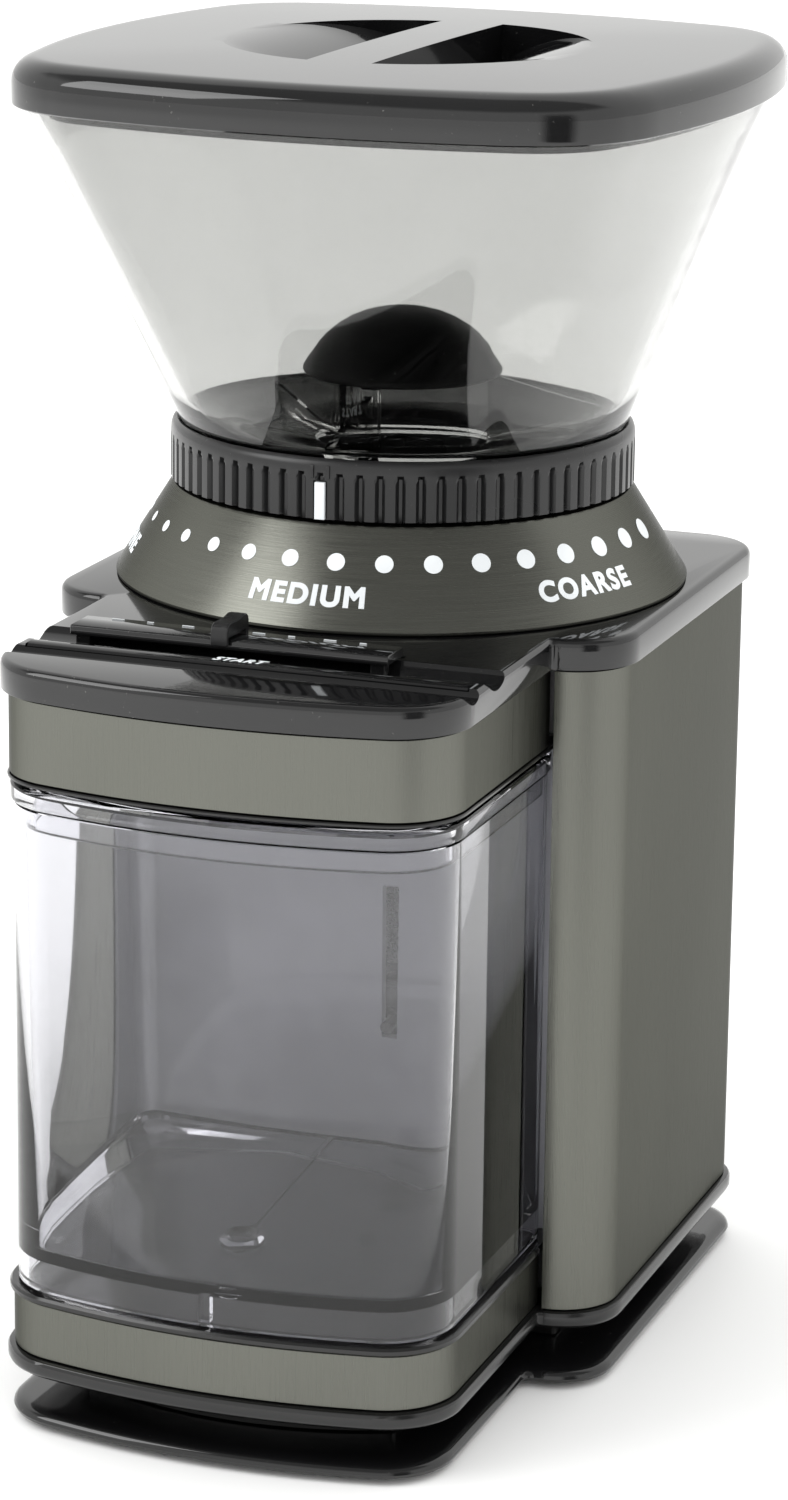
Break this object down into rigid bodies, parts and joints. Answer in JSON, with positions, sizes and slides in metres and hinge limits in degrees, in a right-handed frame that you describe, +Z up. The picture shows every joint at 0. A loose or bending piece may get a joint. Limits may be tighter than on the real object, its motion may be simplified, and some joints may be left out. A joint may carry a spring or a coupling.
{
  "type": "burr coffee grinder",
  "caption": "Electric coffee grinder with a clear bean hopper on a turning grind ring, flat burrs, a motor and a pull-out bin for the grounds.",
  "frame": {"origin": "on the table, under the middle of the whole grinder's bounding box", "axes": "+Z up, the front with the bin faces -Y, +X is on the right of someone facing the front, X = 0 is the plane of symmetry"},
  "size_m": [0.1464, 0.1872, 0.273],
  "materials": {
    "gloss_black": "polished black moulding",
    "satin_black": "satin black moulding",
    "gunmetal": "fine brushed grey-green steel",
    "clear": "clear polished plastic",
    "smoke": "smoky clear polished plastic",
    "white_mark": "white marker",
    "bay_grey": "dark grey moulding",
    "rubber": "matt black rubber",
    "steel": "turned and ground steel",
    "brass": "turned brass",
    "nylon": "natural moulded nylon",
    "board_green": "green circuit board"
  },
  "bodies": {
    "housing": {"rubber_foot_front_left": "rubber", "rubber_foot_front_right": "rubber", "rubber_foot_rear_left": "rubber", "rubber_foot_rear_right": "rubber", "cord_gland": "rubber", "foot_plate": "gloss_black", "top_cover": "gloss_black", "cord_wrap_neck": "satin_black", "base_tray": "satin_black", "bin_shelf": "satin_black", "front_hood": "satin_black", "slider_rail": "satin_black", "grinding_chamber": "satin_black", "grounds_chute": "satin_black", "drive_frame": "satin_black", "start_switch": "satin_black", "bin_interlock_switch": "satin_black", "rear_shell": "gunmetal", "lower_front_band": "gunmetal", "upper_front_band": "gunmetal", "selector_collar": "gunmetal", "bin_bay": "bay_grey", "base_screw_front_left": "steel", "base_screw_front_right": "steel", "base_screw_rear_left": "steel", "base_screw_rear_right": "steel", "motor_screw_left": "steel", "motor_screw_right": "steel", "motor_can": "steel", "power_bar_spring": "steel", "slide_potentiometer": "steel", "spindle_lower_bush": "brass", "spindle_upper_bush": "brass", "control_board": "board_green"},
    "hopper": {"hopper": "clear", "grind_ring": "satin_black", "ring_marker": "white_mark", "bean_guard": "satin_black"},
    "lid": {"hopper_lid": "gloss_black"},
    "adjuster": {"adjusting_ring": "satin_black"},
    "upper_burr": {"upper_burr": "steel", "upper_burr_holder": "satin_black"},
    "bin": {"grounds_bin": "smoke", "bin_lid": "smoke"},
    "cup_slider": {"cup_slider_knob": "satin_black", "pot_wiper": "nylon"},
    "power_bar": {"start_power_bar": "gloss_black"},
    "start_plunger": {"start_switch_plunger": "nylon"},
    "bin_plunger": {"bin_interlock_plunger": "satin_black"},
    "burr_drive": {"spindle": "steel", "drive_gear": "nylon", "burr_carrier": "nylon", "lower_burr": "steel", "burr_screw": "steel"},
    "rotor": {"motor_rotor": "steel", "motor_pinion": "brass"}
  },
  "joints": [
    {"name": "grind_setting", "type": "hinge", "parent": "housing", "child": "adjuster", "pos_m": [0, 0.0205, 0.176], "axis": [0, 0, 1], "range_deg": [-91.35, 91.35]},
    {"name": "hopper_lift", "type": "slide", "parent": "adjuster", "child": "hopper", "axis": [0, 0, 1], "range_m": [0, 0.06]},
    {"name": "lid_lift", "type": "slide", "parent": "hopper", "child": "lid", "axis": [0, 0, 1], "range_m": [0, 0.05]},
    {"name": "upper_burr_feed", "type": "slide", "parent": "housing", "child": "upper_burr", "axis": [0, 0, 1], "range_m": [-0.0005, 0.0005]},
    {"name": "bin_slide", "type": "slide", "parent": "housing", "child": "bin", "axis": [0, -1, 0], "range_m": [0, 0.1]},
    {"name": "cup_dial", "type": "slide", "parent": "housing", "child": "cup_slider", "axis": [1, 0, 0], "range_m": [-0.029, 0.028]},
    {"name": "power_bar_press", "type": "slide", "parent": "housing", "child": "power_bar", "axis": [0, 0, -1], "range_m": [0, 0.0012], "stiffness_N_per_m": 500, "springref_m": -0.002, "deforming": ["power_bar_spring"]},
    {"name": "start_plunger_press", "type": "slide", "parent": "housing", "child": "start_plunger", "axis": [0, 0, -1], "range_m": [0, 0.0012]},
    {"name": "bin_interlock_press", "type": "slide", "parent": "housing", "child": "bin_plunger", "axis": [0, 1, 0], "range_m": [0, 0.0008], "stiffness_N_per_m": 300, "springref_m": -0.001},
    {"name": "burr_spin", "type": "hinge", "parent": "housing", "child": "burr_drive", "pos_m": [0, 0.0205, 0.14], "axis": [0, 0, 1], "continuous": true},
    {"name": "motor_spin", "type": "hinge", "parent": "housing", "child": "rotor", "pos_m": [0, 0.0535, 0.13], "axis": [0, 0, 1], "continuous": true}
  ],
  "couplings": [
    {"joint": "upper_burr_feed", "follows": "grind_setting", "m_per_rad": 0.0003133},
    {"joint": "start_plunger_press", "follows": "power_bar_press", "ratio": 1},
    {"joint": "motor_spin", "follows": "burr_spin", "ratio": -4.5}
  ]
}
